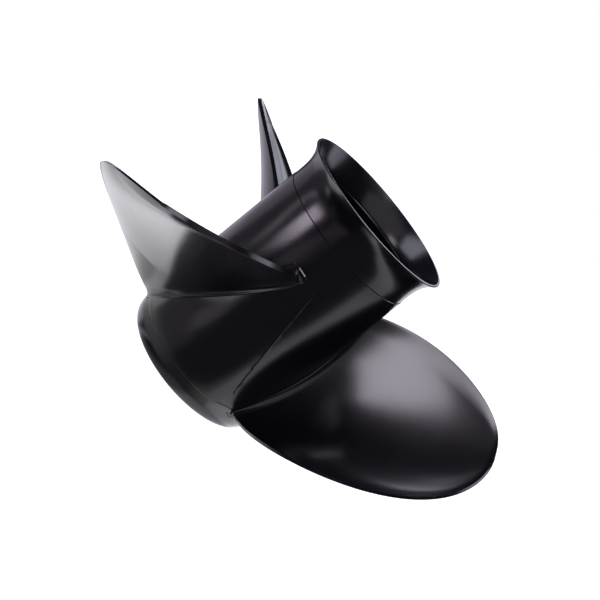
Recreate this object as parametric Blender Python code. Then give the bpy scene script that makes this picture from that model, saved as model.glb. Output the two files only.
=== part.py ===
"""Right-hand boat propeller of a small outboard motor, with the exhaust led through its hub.

One aluminium casting carries the outer barrel with its flared aft end, three cupped blades,
three ribs and the inner hub. A rubber bush is pressed into the inner hub and holds the
splined metal sleeve that slides on the propeller shaft.

The shaft's line is the Z axis, with +Z pointing aft. The origin lies on that line, in the
plane of the barrel's front rim, which is also the face that the part stands on.
Everything is in metres and radians.
"""

import math

import bmesh
import bpy
from mathutils import Vector

# Outer barrel
BARREL_LENGTH = 0.1331
COLLAR_RADIUS = 0.0451
COLLAR_LENGTH = 0.0122
COLLAR_CORNER = 0.0034
CORNER_LENGTH = 0.0080
STEP_HEIGHT = 0.0003
NECK_RADIUS = 0.0429
NECK_PLACE = 0.1125
BORE_RADIUS = 0.0400
FRONT_BORE_RADIUS = 0.0380
BORE_TAPER_END = 0.0600
BORE_CHAMFER = 0.0006
BARREL_SIDES = 72

# Flared aft end
RIM_RADIUS = 0.0480
LIP_THICKNESS = 0.0018
BELL_THROAT = 0.1192
BELL_CURVE = 3.8
BELL_STEPS = 7

# Inner hub and the ribs that hold it
INNER_HUB_RADIUS = 0.0270
INNER_HUB_FRONT = 0.0040
INNER_HUB_BACK = 0.0980
BUSH_SEAT_RADIUS = 0.0213
SHOULDER_RADIUS = 0.0175
SHOULDER_BACK = 0.0180
INNER_HUB_CHAMFER = 0.0010
INNER_HUB_SIDES = 48
RIB_THICKNESS = 0.0060
RIB_FRONT = 0.0080
RIB_BACK = 0.0940
RIB_BITE = 0.0015

# Blade outline, in the blade's own polar frame
BLADE_COUNT = 3
BLADE_TIP_RADIUS = 0.1438
BLADE_ROOT_RADIUS = 0.0432
BLADE_HALF_ANGLE = 0.618
BLADE_SKEW = 0.1745
TIP_SKEW = 0.081
EAR_ROUNDNESS = -0.044
SHOULDER_FULLNESS = 0.037
LEADING_ROOT_CUT = 0.075
ROOT_CUT_FADE = 8

# Blade surface
BLADE_CENTRE = 0.0474
ROOT_PITCH = 0.373
TIP_PITCH = 0.3195
RAKE = 0.0421
RAKE_EASE = 0.0104
CAMBER = 0.142
CAMBER_SHIFT = -0.038
TRAILING_LIFT = 0.047
CUP = 0.020
CUP_START = 0.82

# Blade thickness and root fillets
EDGE_HALF = 0.0008
ROOT_HALF = 0.0033
TIP_HALF = 0.0013
FACE_FILLET = 0.0065
FACE_FILLET_AT_ENDS = 0.12
END_ROUNDING = 0.5
EDGE_FILLET = 0.0004
ROOT_BITE = 0.0012
FILLET_STEPS = 4
SPAN_STEPS = 11
CHORD_STEPS = 16
TIP_ANGLE = math.radians(78)

# Rubber bush and splined sleeve
CONTACT_GAP = 0.0003
BUSH_FRONT = SHOULDER_BACK + CONTACT_GAP
BUSH_BACK = 0.0880
BUSH_CHAMFER = 0.0015
SLEEVE_RADIUS = 0.0142
SLEEVE_FRONT = 0.0060
SLEEVE_BACK = 0.0970
SLEEVE_CHAMFER = 0.0010
SPLINE_COUNT = 13
SPLINE_ROOT_RADIUS = 0.0116
SPLINE_TIP_RADIUS = 0.0101
SPLINE_LAND = 0.42


def clear_scene():
    for thing in list(bpy.data.objects):
        bpy.data.objects.remove(thing, do_unlink=True)


def make_material(name, colour, roughness, metallic):
    """Principled material in one colour, given as linear red, green and blue."""
    material = bpy.data.materials.new(name)
    material.use_nodes = True
    shader = material.node_tree.nodes["Principled BSDF"]
    shader.inputs["Base Color"].default_value = (*colour, 1.0)
    shader.inputs["Roughness"].default_value = roughness
    shader.inputs["Metallic"].default_value = metallic
    return material


def object_from(name, bm):
    """Close off a bmesh as an object with its normals pointing out."""
    bmesh.ops.recalc_face_normals(bm, faces=bm.faces)
    mesh = bpy.data.meshes.new(name)
    bm.to_mesh(mesh)
    bm.free()
    thing = bpy.data.objects.new(name, mesh)
    bpy.context.scene.collection.objects.link(thing)
    return thing


def finish(thing, material, sharp_angle=math.radians(35)):
    thing.data.materials.clear()
    thing.data.materials.append(material)
    thing.data.shade_smooth()
    thing.data.set_sharp_from_angle(angle=sharp_angle)
    return thing


def turned(name, profile, sides):
    """Ring turned about Z from a closed profile of (radius, height) points."""
    bm = bmesh.new()
    rings = []
    for k in range(sides):
        angle = 2 * math.pi * k / sides
        rings.append([bm.verts.new((r * math.cos(angle), r * math.sin(angle), z)) for r, z in profile])
    for ring, following in zip(rings, rings[1:] + rings[:1]):
        for i in range(len(profile)):
            j = (i + 1) % len(profile)
            bm.faces.new((ring[i], ring[j], following[j], following[i]))
    return object_from(name, bm)


def barrel_radius(z):
    """Outside radius of the tapered barrel between the collar and the neck."""
    share = (z - COLLAR_LENGTH) / (NECK_PLACE - COLLAR_LENGTH)
    share = min(max(share, 0.0), 1.0)
    start = COLLAR_RADIUS - STEP_HEIGHT
    return start + (NECK_RADIUS + STEP_HEIGHT - start) * share


def bell_points(start_radius, start_z, end_radius, end_z):
    """Trumpet curve that leaves the barrel straight and opens towards the rim."""
    points = []
    for k in range(BELL_STEPS + 1):
        share = k / BELL_STEPS
        radius = start_radius + (end_radius - start_radius) * share ** BELL_CURVE
        points.append((radius, start_z + (end_z - start_z) * share))
    return points


def barrel_profile():
    """Closed outline of the barrel's wall, from the front rim round the outside and back."""
    front_radius = COLLAR_RADIUS - STEP_HEIGHT
    corner = []
    for degrees in (0, 18, 36, 54, 72, 90):
        angle = math.radians(degrees)
        corner.append((front_radius - COLLAR_CORNER * (1 - math.sin(angle)),
                       CORNER_LENGTH * (1 - math.cos(angle))))
    collar = [(COLLAR_RADIUS, COLLAR_LENGTH)]
    barrel = [(barrel_radius(z), z) for z in (COLLAR_LENGTH + STEP_HEIGHT, 0.05, NECK_PLACE - STEP_HEIGHT)]
    outer_bell = bell_points(NECK_RADIUS, NECK_PLACE, RIM_RADIUS, BARREL_LENGTH - LIP_THICKNESS / 2)
    lip = [(RIM_RADIUS - LIP_THICKNESS * 0.3, BARREL_LENGTH),
           (RIM_RADIUS - LIP_THICKNESS, BARREL_LENGTH - LIP_THICKNESS * 0.2)]
    inner_bell = bell_points(BORE_RADIUS, BELL_THROAT, RIM_RADIUS - LIP_THICKNESS * 1.4,
                             BARREL_LENGTH - LIP_THICKNESS * 0.7)
    inner_bell.reverse()
    bore = [(BORE_RADIUS, BORE_TAPER_END), (FRONT_BORE_RADIUS, BORE_CHAMFER),
            (FRONT_BORE_RADIUS + BORE_CHAMFER, 0.0)]
    return corner + collar + barrel + outer_bell + lip + inner_bell + bore


def inner_hub_profile():
    """Tube around the bush, with a shoulder at the front that the bush is pressed against."""
    cut = INNER_HUB_CHAMFER
    return [
        (SHOULDER_RADIUS + cut, INNER_HUB_FRONT),
        (INNER_HUB_RADIUS - cut, INNER_HUB_FRONT),
        (INNER_HUB_RADIUS, INNER_HUB_FRONT + cut),
        (INNER_HUB_RADIUS, INNER_HUB_BACK - cut),
        (INNER_HUB_RADIUS - cut, INNER_HUB_BACK),
        (BUSH_SEAT_RADIUS + cut, INNER_HUB_BACK),
        (BUSH_SEAT_RADIUS, INNER_HUB_BACK - cut),
        (BUSH_SEAT_RADIUS, SHOULDER_BACK),
        (SHOULDER_RADIUS, SHOULDER_BACK),
        (SHOULDER_RADIUS, INNER_HUB_FRONT + cut),
    ]


def make_rib(index):
    """Flat plate that joins the inner hub to the barrel under a blade."""
    inner = INNER_HUB_RADIUS - RIB_BITE
    outer = BORE_RADIUS + RIB_BITE
    bm = bmesh.new()
    bmesh.ops.create_cube(bm, size=1.0)
    bmesh.ops.scale(bm, verts=bm.verts, vec=(outer - inner, RIB_THICKNESS, RIB_BACK - RIB_FRONT))
    bmesh.ops.translate(bm, verts=bm.verts, vec=((outer + inner) / 2, 0, (RIB_BACK + RIB_FRONT) / 2))
    rib = object_from(f"rib_{index}", bm)
    rib.rotation_euler.z = 2 * math.pi * index / BLADE_COUNT
    return rib


def outline_radius(t):
    """Radius on the blade's outline: t runs from 0 at the leading root to pi at the trailing one."""
    share = (math.sin(t) + SHOULDER_FULLNESS * math.sin(3 * t)) / (1 - SHOULDER_FULLNESS)
    return BLADE_ROOT_RADIUS + (BLADE_TIP_RADIUS - BLADE_ROOT_RADIUS) * share


def outline_angle(t):
    """Angle round the shaft on the blade's outline."""
    sweep = -BLADE_HALF_ANGLE * math.cos(t) + EAR_ROUNDNESS * math.cos(3 * t)
    cut = LEADING_ROOT_CUT * (1 - math.sin(t)) ** ROOT_CUT_FADE if t < math.pi / 2 else 0.0
    return sweep + BLADE_SKEW * math.sin(t) ** 2 + TIP_SKEW * math.sin(t) ** 4 + cut


def outline_place(radius):
    """The t on the leading side at which the outline reaches this radius."""
    low, high = 0.0, math.pi / 2
    for _ in range(40):
        middle = (low + high) / 2
        if outline_radius(middle) < radius:
            low = middle
        else:
            high = middle
    return low


def blade_height(radius, angle, chord_place, half_chord):
    """Height of the blade's middle surface; chord_place is -1 at the leading edge and 1 at the trailing."""
    span = (radius - BLADE_ROOT_RADIUS) / (BLADE_TIP_RADIUS - BLADE_ROOT_RADIUS)
    pitch = ROOT_PITCH + (TIP_PITCH - ROOT_PITCH) * span
    helix = BLADE_CENTRE + pitch * angle / (2 * math.pi) + (RAKE - RAKE_EASE * span) * span
    inside = max(1 - chord_place ** 2, 0.0)
    camber = (CAMBER + CAMBER_SHIFT * chord_place) * inside
    cup_share = max(0.0, chord_place - CUP_START) / (1 - CUP_START)
    rise = TRAILING_LIFT * (1 + chord_place) / 2 + CUP * cup_share ** 2
    return helix + (rise - camber) * half_chord


def middle_point(radius, chord_place):
    """Point of the blade's middle surface at a radius and a place along the chord."""
    t = outline_place(radius)
    leading, trailing = outline_angle(t), outline_angle(math.pi - t)
    half_chord = radius * (trailing - leading) / 2
    angle = (leading + trailing) / 2 + chord_place * (trailing - leading) / 2
    height = blade_height(radius, angle, chord_place, half_chord)
    return Vector((radius * math.cos(angle), radius * math.sin(angle), height))


def middle_normal(radius, chord_place):
    """Aft-facing normal of the middle surface."""
    reach, along = 0.0004, 0.004
    outward = middle_point(radius + reach, chord_place) - middle_point(radius - reach, chord_place)
    chordwise = middle_point(radius, chord_place + along) - middle_point(radius, chord_place - along)
    return outward.cross(chordwise).normalized()


def half_thickness(radius, chord_place):
    span = max(0.0, (radius - BLADE_ROOT_RADIUS) / (BLADE_TIP_RADIUS - BLADE_ROOT_RADIUS))
    thickest = ROOT_HALF + (TIP_HALF - ROOT_HALF) * span
    return EDGE_HALF + (thickest - EDGE_HALF) * max(0.0, 1 - chord_place ** 2) ** 0.7


def fillet_share(chord_place):
    """The face fillet is widest along the middle of the root and small at its two ends."""
    return FACE_FILLET_AT_ENDS + (1 - FACE_FILLET_AT_ENDS) * (1 - chord_place ** 4)


def blade_rows():
    """Rows of the blade from inside the barrel's wall out, as (radius, face flare, edge flare)."""
    rows = [(BLADE_ROOT_RADIUS - ROOT_BITE, FACE_FILLET, EDGE_FILLET)]
    for k in range(FILLET_STEPS + 1):
        turn = math.pi / 2 * k / FILLET_STEPS
        rise = FACE_FILLET * (1 - math.cos(turn))
        flare = 1 - math.sin(turn)
        rows.append((BLADE_ROOT_RADIUS + rise, FACE_FILLET * flare, EDGE_FILLET * flare))
    first = outline_place(BLADE_ROOT_RADIUS + FACE_FILLET)
    for k in range(1, SPAN_STEPS + 1):
        rows.append((outline_radius(first + (TIP_ANGLE - first) * k / SPAN_STEPS), 0.0, 0.0))
    return rows


def follow_barrel(point, row_radius):
    """Push a point of the blade's root out to where the tapered barrel's surface really is."""
    span = (row_radius - BLADE_ROOT_RADIUS) / (BLADE_TIP_RADIUS - BLADE_ROOT_RADIUS)
    shift = (barrel_radius(point.z) - BLADE_ROOT_RADIUS) * (1 - min(max(span, 0.0), 1.0)) ** 3
    radius = math.hypot(point.x, point.y)
    grow = (radius + shift) / radius
    return Vector((point.x * grow, point.y * grow, point.z))


def tip_row():
    """Last row, which runs along the outline over the tip, as (middle point, way out of the edge)."""
    row = []
    step = 0.01
    for j in range(CHORD_STEPS + 1):
        t = TIP_ANGLE + (math.pi - 2 * TIP_ANGLE) * j / CHORD_STEPS
        places = []
        for near in (t - step, t, t + step):
            radius, angle = outline_radius(near), outline_angle(near)
            mirror = outline_angle(math.pi - near)
            half_chord = radius * abs(mirror - angle) / 2
            side = -1.0 if near < math.pi / 2 else 1.0
            height = blade_height(radius, angle, side, half_chord)
            places.append(Vector((radius * math.cos(angle), radius * math.sin(angle), height)))
        row.append((places[1], (places[2] - places[0]).normalized()))
    return row


def make_blade(index):
    """Closed blade: an aft and a forward skin joined by a rounded edge, with flared roots."""
    aft, forward, leading, trailing = [], [], [], []
    places = [-1 + 2 * j / CHORD_STEPS for j in range(CHORD_STEPS + 1)]
    for radius, face_flare, edge_flare in blade_rows():
        t = outline_place(radius)
        half_chord = radius * (outline_angle(math.pi - t) - outline_angle(t)) / 2
        stretch = 1 + (edge_flare - EDGE_HALF) / half_chord
        aft_row, forward_row = [], []
        for place in places:
            wide = place * stretch
            middle, normal = middle_point(radius, wide), middle_normal(radius, wide)
            reach = half_thickness(radius, place) + face_flare * fillet_share(place)
            aft_row.append(follow_barrel(middle + normal * reach, radius))
            forward_row.append(follow_barrel(middle - normal * reach, radius))
        aft.append(aft_row)
        forward.append(forward_row)
        rounding = stretch + (EDGE_HALF + face_flare * FACE_FILLET_AT_ENDS * END_ROUNDING) / half_chord
        leading.append(follow_barrel(middle_point(radius, -rounding), radius))
        trailing.append(follow_barrel(middle_point(radius, rounding), radius))
    aft_row, forward_row, rim = [], [], []
    last_normal = middle_normal(blade_rows()[-1][0], 0.0)
    for edge_point, along in tip_row():
        outward = along.cross(last_normal).normalized()
        normal = outward.cross(along).normalized()
        middle = edge_point - outward * EDGE_HALF
        aft_row.append(middle + normal * EDGE_HALF)
        forward_row.append(middle - normal * EDGE_HALF)
        rim.append(edge_point)
    aft.append(aft_row)
    forward.append(forward_row)

    bm = bmesh.new()
    aft_verts = [[bm.verts.new(p) for p in row] for row in aft]
    forward_verts = [[bm.verts.new(p) for p in row] for row in forward]
    leading_verts = [bm.verts.new(p) for p in leading]
    trailing_verts = [bm.verts.new(p) for p in trailing]
    rim_verts = [bm.verts.new(p) for p in rim]
    leading_verts.append(rim_verts[0])
    trailing_verts.append(rim_verts[-1])
    for i in range(len(aft_verts) - 1):
        for skin in (aft_verts, forward_verts):
            for j in range(CHORD_STEPS):
                bm.faces.new((skin[i][j], skin[i][j + 1], skin[i + 1][j + 1], skin[i + 1][j]))
            bm.faces.new((skin[i][0], skin[i + 1][0], leading_verts[i + 1], leading_verts[i]))
            bm.faces.new((skin[i][-1], trailing_verts[i], trailing_verts[i + 1], skin[i + 1][-1]))
    for skin in (aft_verts, forward_verts):
        for j in range(CHORD_STEPS):
            bm.faces.new((skin[-1][j], skin[-1][j + 1], rim_verts[j + 1], rim_verts[j]))
    for j in range(CHORD_STEPS):
        bm.faces.new((aft_verts[0][j], forward_verts[0][j], forward_verts[0][j + 1], aft_verts[0][j + 1]))
    bm.faces.new((aft_verts[0][0], leading_verts[0], forward_verts[0][0]))
    bm.faces.new((aft_verts[0][-1], forward_verts[0][-1], trailing_verts[0]))
    blade = object_from(f"blade_{index}", bm)
    blade.rotation_euler.z = 2 * math.pi * index / BLADE_COUNT
    return blade


def join_into(base, guest):
    """Unite a guest solid with the base and keep it only as a hidden guide."""
    modifier = base.modifiers.new(f"join_{guest.name}", "BOOLEAN")
    modifier.operation = "UNION"
    modifier.solver = "EXACT"
    modifier.object = guest
    guest.hide_render = True
    guest.display_type = "WIRE"


def make_casting(material):
    """Barrel, inner hub, ribs and blades, which the real propeller has in one casting."""
    casting = turned("propeller_casting", barrel_profile(), BARREL_SIDES)
    join_into(casting, turned("inner_hub", inner_hub_profile(), INNER_HUB_SIDES))
    for index in range(BLADE_COUNT):
        join_into(casting, make_rib(index))
    for index in range(BLADE_COUNT):
        join_into(casting, make_blade(index))
    return finish(casting, material)


def make_bush(material):
    """Rubber ring that slips in the inner hub when a blade strikes something."""
    outer = BUSH_SEAT_RADIUS - CONTACT_GAP
    inner = SLEEVE_RADIUS + CONTACT_GAP
    profile = [
        (inner, BUSH_FRONT),
        (outer - BUSH_CHAMFER, BUSH_FRONT),
        (outer, BUSH_FRONT + BUSH_CHAMFER),
        (outer, BUSH_BACK - BUSH_CHAMFER),
        (outer - BUSH_CHAMFER, BUSH_BACK),
        (inner, BUSH_BACK),
    ]
    return finish(turned("rubber_bush", profile, INNER_HUB_SIDES), material)


def make_sleeve(material):
    """Metal tube with straight splines inside, for the propeller shaft."""
    outline = []
    pitch = 2 * math.pi / SPLINE_COUNT
    for tooth in range(SPLINE_COUNT):
        for share, radius in ((-0.5, SPLINE_ROOT_RADIUS), (-SPLINE_LAND, SPLINE_ROOT_RADIUS),
                              (-SPLINE_LAND / 2, SPLINE_TIP_RADIUS), (SPLINE_LAND / 2, SPLINE_TIP_RADIUS),
                              (SPLINE_LAND, SPLINE_ROOT_RADIUS)):
            outline.append((radius, pitch * (tooth + share)))
    bm = bmesh.new()
    levels = [(SLEEVE_FRONT, SLEEVE_CHAMFER), (SLEEVE_FRONT + SLEEVE_CHAMFER, 0.0),
              (SLEEVE_BACK - SLEEVE_CHAMFER, 0.0), (SLEEVE_BACK, SLEEVE_CHAMFER)]
    inner_rings, outer_rings = [], []
    for z, cut in levels:
        inner_rings.append([bm.verts.new((r * math.cos(a), r * math.sin(a), z)) for r, a in outline])
        outer = SLEEVE_RADIUS - cut
        outer_rings.append([bm.verts.new((outer * math.cos(a), outer * math.sin(a), z)) for _, a in outline])
    count = len(outline)
    for rings in (inner_rings, outer_rings):
        for low, high in zip(rings, rings[1:]):
            for i in range(count):
                j = (i + 1) % count
                bm.faces.new((low[i], low[j], high[j], high[i]))
    for inner, outer in ((inner_rings[0], outer_rings[0]), (inner_rings[-1], outer_rings[-1])):
        for i in range(count):
            j = (i + 1) % count
            bm.faces.new((inner[i], inner[j], outer[j], outer[i]))
    return finish(object_from("splined_sleeve", bm), material)


def main():
    clear_scene()
    make_casting(make_material("black_enamel", (0.012, 0.012, 0.014), 0.32, 0.0))
    make_bush(make_material("black_rubber", (0.018, 0.018, 0.018), 0.75, 0.0))
    make_sleeve(make_material("bronze", (0.53, 0.36, 0.16), 0.35, 1.0))


main()
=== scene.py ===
# %% [markdown]
# # A black enamelled outboard propeller
# The real object is one aluminium die casting: an outer barrel that leads the exhaust aft, three
# cupped blades, and an inner hub on three ribs. A rubber bush in the hub grips a splined sleeve.
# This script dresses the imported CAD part. Everything is in metres, with the shaft on the Z axis,
# aft upwards, and the front rim of the barrel standing on the floor at height zero.

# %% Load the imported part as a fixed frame
import math

import bmesh
import bpy
from mathutils import Matrix, Vector


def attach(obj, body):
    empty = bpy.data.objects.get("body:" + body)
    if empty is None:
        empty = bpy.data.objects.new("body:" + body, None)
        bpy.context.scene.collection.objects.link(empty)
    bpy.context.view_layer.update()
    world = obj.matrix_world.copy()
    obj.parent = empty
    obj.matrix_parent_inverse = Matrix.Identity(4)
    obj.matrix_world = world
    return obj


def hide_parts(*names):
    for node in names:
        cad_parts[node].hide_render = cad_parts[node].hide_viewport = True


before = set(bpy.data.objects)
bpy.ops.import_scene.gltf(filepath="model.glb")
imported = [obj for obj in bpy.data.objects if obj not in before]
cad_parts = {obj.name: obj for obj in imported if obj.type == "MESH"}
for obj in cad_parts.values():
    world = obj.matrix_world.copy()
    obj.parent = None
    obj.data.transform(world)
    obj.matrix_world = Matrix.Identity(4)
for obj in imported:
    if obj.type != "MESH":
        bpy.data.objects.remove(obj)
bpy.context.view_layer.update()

MM = 0.001

# %% [markdown]
# ## Camera
# The photograph looks at the propeller slightly from above, with the camera rolled so far that
# the shaft leans over. A camera can be set by a matrix or by Euler angles. Place, aim, roll and
# lens are used here, because they say more plainly how a photographer would stand.

# %% Camera at the photograph's viewing angle
CAMERA_PLACE = Vector((0.0740, -0.5231, 0.2356))
CAMERA_AIM = Vector((0.00874, 0.00702, 0.06840))
CAMERA_ROLL = math.radians(51.28)
CAMERA_LENS = 63.08


def add_camera():
    data = bpy.data.cameras.new("camera")
    data.lens = CAMERA_LENS
    data.sensor_width = 36.0
    data.clip_start = 0.01
    camera = bpy.data.objects.new("camera", data)
    bpy.context.scene.collection.objects.link(camera)
    facing = (CAMERA_AIM - CAMERA_PLACE).to_track_quat("-Z", "Y").to_matrix().to_4x4()
    rolled = facing @ Matrix.Rotation(CAMERA_ROLL, 4, "Z")
    camera.matrix_world = Matrix.Translation(CAMERA_PLACE) @ rolled
    bpy.context.scene.camera = camera
    return camera


print("camera at", add_camera().location[:])

# %% [markdown]
# ## Small helpers
# Each piece is a bmesh that operators shape. One helper turns it into an object with its normals
# pointing out. Another joins solids that the real casting has in one, and then clears away what
# such a union leaves behind. Smooth shading takes its normals from the large faces first, so a
# hair-thin ridge doesn't smear the reflections on the wide faces beside it.

# %% From a bmesh to an object
SHARP_ANGLE = math.radians(32)


def to_object(name, bm):
    bmesh.ops.remove_doubles(bm, verts=bm.verts, dist=0.001 * MM)
    bmesh.ops.recalc_face_normals(bm, faces=bm.faces)
    mesh = bpy.data.meshes.new(name)
    bm.to_mesh(mesh)
    bm.free()
    thing = bpy.data.objects.new(name, mesh)
    bpy.context.scene.collection.objects.link(thing)
    return thing


def smooth(thing):
    """Smooth shading that keeps real edges sharp and lets large faces lead."""
    thing.data.shade_smooth()
    thing.data.set_sharp_from_angle(angle=SHARP_ANGLE)
    weighted = thing.modifiers.new("weighted_normals", "WEIGHTED_NORMAL")
    weighted.keep_sharp = True
    return thing


def spun(name, profile, steps):
    """A closed profile of (radius, height) points, spun about the shaft's line."""
    bm = bmesh.new()
    points = [bm.verts.new((radius, 0.0, height)) for radius, height in profile]
    edges = [bm.edges.new(pair) for pair in zip(points, points[1:] + points[:1])]
    bmesh.ops.spin(bm, geom=points + edges, axis=(0, 0, 1), cent=(0, 0, 0), angle=2 * math.pi,
                   steps=steps, use_merge=True)
    return to_object(name, bm)


def arc(centre, radii, start, end, steps):
    """Points of an elliptic arc in the (radius, height) plane, between two angles in degrees."""
    points = []
    for k in range(steps + 1):
        turn = math.radians(start + (end - start) * k / steps)
        points.append((centre[0] + radii[0] * math.cos(turn),
                       centre[1] + radii[1] * math.sin(turn)))
    return points


UNION_DUST = 0.01 * MM
MOST_CORNERS = 4


def cleaned(mesh):
    """Merges points that a union left on top of each other, with the slivers between them."""
    bm = bmesh.new()
    bm.from_mesh(mesh)
    bmesh.ops.remove_doubles(bm, verts=bm.verts, dist=UNION_DUST)
    bmesh.ops.dissolve_degenerate(bm, edges=bm.edges, dist=UNION_DUST)
    bmesh.ops.triangulate(bm, faces=[face for face in bm.faces if len(face.verts) > MOST_CORNERS])
    twins = {}
    for face in bm.faces:
        twins.setdefault(frozenset(vert.index for vert in face.verts), []).append(face)
    doubled = [face for faces in twins.values() if len(faces) > 1 for face in faces]
    bmesh.ops.delete(bm, geom=doubled, context="FACES")
    print("edges without two faces:", sum(len(edge.link_faces) != 2 for edge in bm.edges))
    bm.to_mesh(mesh)
    bm.free()
    return mesh


def united(base, *guests):
    """The base with the guests joined on, as one closed mesh."""
    for guest in guests:
        modifier = base.modifiers.new(guest.name, "BOOLEAN")
        modifier.operation = "UNION"
        modifier.solver = "EXACT"
        modifier.object = guest
    shape = base.evaluated_get(bpy.context.evaluated_depsgraph_get())
    mesh = bpy.data.meshes.new_from_object(shape)
    base.modifiers.clear()
    base.data = cleaned(mesh)
    for guest in guests:
        bpy.data.objects.remove(guest)
    return base

# %% [markdown]
# ## The barrel
# The barrel is a tapered tube. At its front is a collar, rounded over towards the engine. Behind
# a short slope the barrel stands 0.3 mm proud of it, and that slope catches a thin line of light.
# A fine seam runs round the neck, where the trumpet-shaped flare starts. Loops cut into a
# cylinder could be moved to all that, but it is a body of rotation, so one profile is drawn and spun.

# %% Barrel dimensions
BARREL_LENGTH = 133.1 * MM
COLLAR_RADIUS = 44.7 * MM
COLLAR_LENGTH = 12.2 * MM
COLLAR_CORNER = (3.4 * MM, 8.0 * MM)
STEP_HEIGHT = 0.3 * MM
COLLAR_SLOPE = 0.6 * MM
STEP_ROUNDING = (0.1 * MM, 0.1 * MM)
BARREL_FRONT_RADIUS = 45.0 * MM
NECK_RADIUS = 42.9 * MM
NECK_PLACE = 112.5 * MM
SEAM_WIDTH = 0.35 * MM
SEAM_DEPTH = 0.38 * MM
SEAM_EDGE = 0.1 * MM
RIM_RADIUS = 48.0 * MM
LIP_THICKNESS = 1.3 * MM
LIP_ROUNDING = (0.4 * MM, 0.4 * MM)
LIP_DISH = 0.05 * MM
INNER_LIP_CUTS = ((0.0, 0.0), (0.06 * MM, 0.05 * MM), (0.12 * MM, 0.15 * MM))
BELL_THROAT = 119.2 * MM
BELL_CURVE = 3.8
INNER_BELL_CURVE = 1.4
BORE_RADIUS = 39.6 * MM
LEDGE_WIDTH = 0.7 * MM
LEDGE_DEPTH = 0.6 * MM
LEDGE_ROUNDING = (0.5 * MM, 0.5 * MM)
FRONT_BORE_RADIUS = 38.0 * MM
FRONT_BORE_CHAMFER = 0.6 * MM
BORE_TAPER_END = 60.0 * MM
BARREL_STEPS = 240
BELL_STEPS = 26


def barrel_radius(z):
    """Outside radius of the tapered barrel between the collar and the neck."""
    share = min(max((z - COLLAR_LENGTH) / (NECK_PLACE - COLLAR_LENGTH), 0.0), 1.0)
    return BARREL_FRONT_RADIUS + (NECK_RADIUS + STEP_HEIGHT - BARREL_FRONT_RADIUS) * share


def bell_curve(start, end, curve, steps):
    """Trumpet curve that leaves the tube straight and opens towards the rim."""
    points = []
    for k in range(steps + 1):
        share = k / steps
        points.append((start[0] + (end[0] - start[0]) * share ** curve,
                       start[1] + (end[1] - start[1]) * share))
    return points

# %% Spin the barrel's wall
def barrel_profile():
    corner = arc((COLLAR_RADIUS - COLLAR_CORNER[0], COLLAR_CORNER[1]), COLLAR_CORNER, -90, 0, 10)
    collar = [(COLLAR_RADIUS, COLLAR_LENGTH - COLLAR_SLOPE)]
    collar += arc((BARREL_FRONT_RADIUS - STEP_ROUNDING[0], COLLAR_LENGTH), STEP_ROUNDING, -30, 0, 3)
    tube = [(barrel_radius(z * MM), z * MM) for z in range(16, 110, 8)]
    seam_start = NECK_PLACE - SEAM_WIDTH
    seam = [(barrel_radius(seam_start), seam_start),
            (NECK_RADIUS + STEP_HEIGHT - SEAM_DEPTH, NECK_PLACE - SEAM_WIDTH / 2),
            (NECK_RADIUS, NECK_PLACE)]
    bell = bell_curve((NECK_RADIUS, NECK_PLACE + SEAM_EDGE),
                      (RIM_RADIUS, BARREL_LENGTH - LIP_THICKNESS / 2), BELL_CURVE, BELL_STEPS)
    lip = arc((RIM_RADIUS - LIP_ROUNDING[0], BARREL_LENGTH - LIP_ROUNDING[1]), LIP_ROUNDING, 0, 90, 4)
    inner_lip = [(RIM_RADIUS - LIP_THICKNESS - across, BARREL_LENGTH - LIP_DISH - down)
                 for across, down in INNER_LIP_CUTS]
    lip += inner_lip[:2]
    inside = bell_curve((BORE_RADIUS + LEDGE_WIDTH, BELL_THROAT), inner_lip[2], INNER_BELL_CURVE,
                        BELL_STEPS)[::-1]
    ledge = arc((BORE_RADIUS + LEDGE_ROUNDING[0], BELL_THROAT - LEDGE_DEPTH), LEDGE_ROUNDING, 90, 180, 6)
    bore = [(BORE_RADIUS, z * MM) for z in (110, 95, 80)]
    bore += [(BORE_RADIUS, BORE_TAPER_END), (FRONT_BORE_RADIUS, FRONT_BORE_CHAMFER),
             (FRONT_BORE_RADIUS + FRONT_BORE_CHAMFER, 0.0)]
    return corner + collar + tube + seam + bell + lip + inside + ledge + bore


casting = spun("propeller_casting_detail", barrel_profile(), BARREL_STEPS)
print("barrel wall:", len(casting.data.polygons), "faces")

# %% [markdown]
# ## Inner hub and ribs
# Three ribs under the blades hold the inner hub. Foundry corners are never sharp: the ribs widen
# where they meet the hub and the barrel, so metal flows and no crack starts there. A bevel of the
# joined casting could round these corners, but it fails where many edges meet. So the rib is a
# flat grid, widened at both ends and extruded level by level, narrower at the last few.

# %% Inner hub
INNER_HUB_RADIUS = 27.0 * MM
INNER_HUB_FRONT = 4.0 * MM
INNER_HUB_BACK = 98.0 * MM
BUSH_SEAT_RADIUS = 21.3 * MM
SHOULDER_RADIUS = 17.5 * MM
SHOULDER_BACK = 18.0 * MM
HUB_ROUNDING = 1.0 * MM
HUB_STEPS = 128


def inner_hub_profile():
    cut = (HUB_ROUNDING, HUB_ROUNDING)
    outer, seat = INNER_HUB_RADIUS - HUB_ROUNDING, BUSH_SEAT_RADIUS + HUB_ROUNDING
    low, high = INNER_HUB_FRONT + HUB_ROUNDING, INNER_HUB_BACK - HUB_ROUNDING
    profile = arc((SHOULDER_RADIUS + HUB_ROUNDING, low), cut, 180, 270, 4)
    profile += arc((outer, low), cut, -90, 0, 4)
    profile += arc((outer, high), cut, 0, 90, 4)
    profile += arc((seat, high), cut, 90, 180, 4)
    return profile + [(BUSH_SEAT_RADIUS, SHOULDER_BACK), (SHOULDER_RADIUS, SHOULDER_BACK)]


inner_hub = spun("inner_hub", inner_hub_profile(), HUB_STEPS)
print("inner hub:", len(inner_hub.data.polygons), "faces")

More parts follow.
